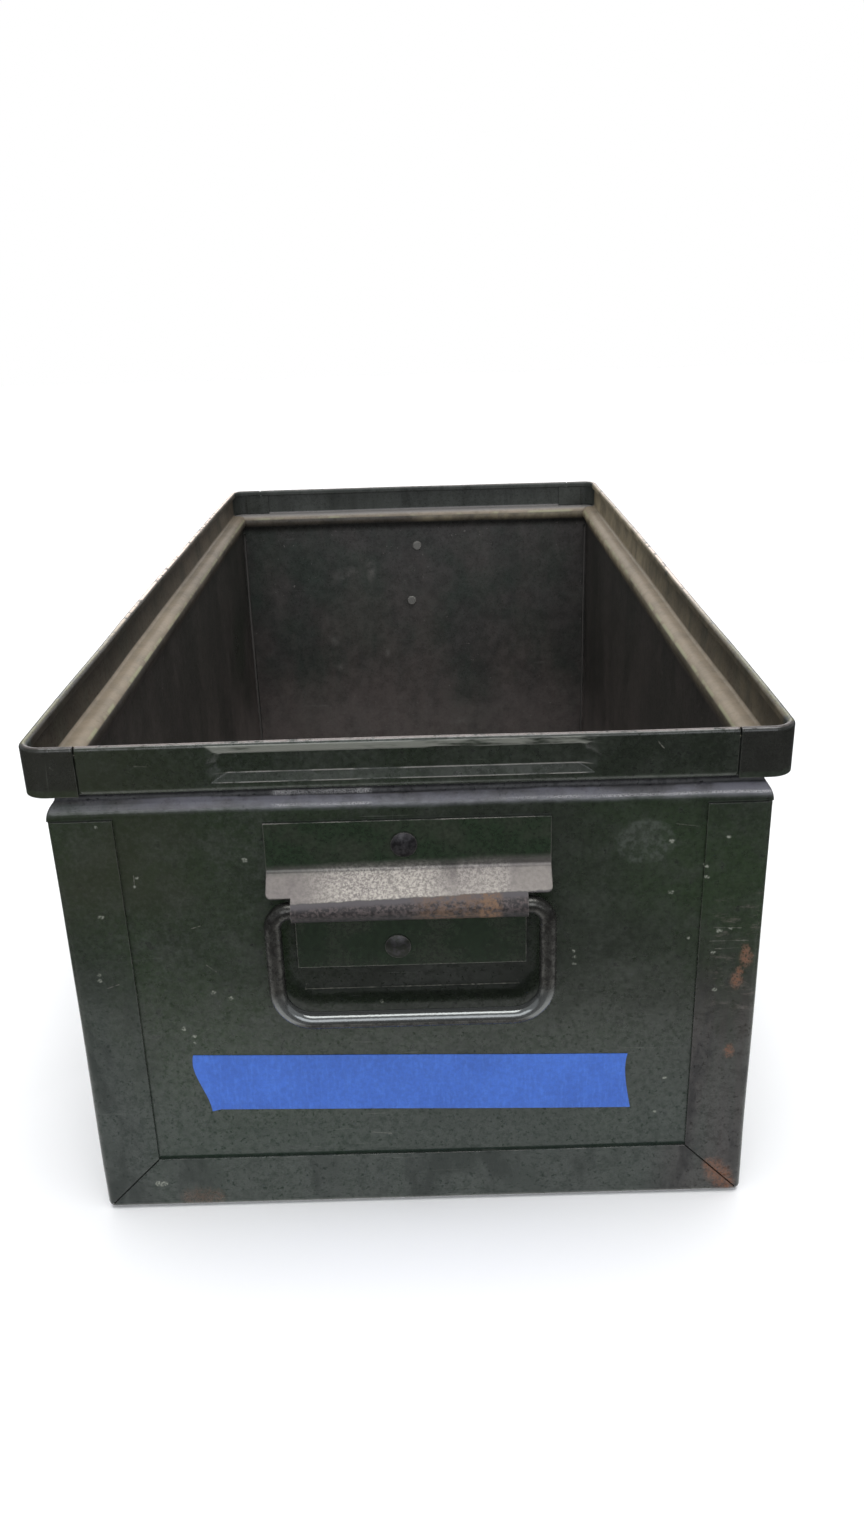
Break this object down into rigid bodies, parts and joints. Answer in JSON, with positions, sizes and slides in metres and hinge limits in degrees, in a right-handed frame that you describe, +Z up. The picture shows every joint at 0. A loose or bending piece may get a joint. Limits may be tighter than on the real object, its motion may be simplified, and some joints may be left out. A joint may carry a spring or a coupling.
{
  "type": "stacking tote box",
  "caption": "Open sheet-steel stacking tote with a flared rim that takes the base of the next box, and a riveted drop bail handle on each end.",
  "frame": {"origin": "on the floor, under the middle of the box", "axes": "+Z up, +Y along the length towards the rear end, +X to the right of a person who faces the front end"},
  "size_m": [0.2666, 0.531, 0.2032],
  "materials": {
    "enamel": "gloss dark green enamel, worn at the edges",
    "bracket_enamel": "gloss dark green enamel, rubbed to bare grey steel on the ramp",
    "rod_steel": "dark handled steel rod with polished streaks",
    "rivet_steel": "dark oxidised steel",
    "tape": "matt blue crepe paper, blank"
  },
  "bodies": {
    "box": {"body_wrap": "enamel", "front_panel": "enamel", "rear_panel": "enamel", "masking_tape": "tape", "front_handle_bracket": "bracket_enamel", "front_upper_rivet": "rivet_steel", "front_lower_rivet": "rivet_steel", "rear_handle_bracket": "bracket_enamel", "rear_upper_rivet": "rivet_steel", "rear_lower_rivet": "rivet_steel"},
    "front_bail": {"front_bail_handle": "rod_steel"},
    "rear_bail": {"rear_bail_handle": "rod_steel"}
  },
  "joints": [
    {"name": "front_bail_hinge", "type": "hinge", "parent": "box", "child": "front_bail", "pos_m": [-0.0012, -0.261, 0.1387], "axis": [-1, 0, 0], "range_deg": [-5, 115]},
    {"name": "rear_bail_hinge", "type": "hinge", "parent": "box", "child": "rear_bail", "pos_m": [0.0012, 0.261, 0.1387], "axis": [1, 0, 0], "range_deg": [-5, 115]}
  ]
}
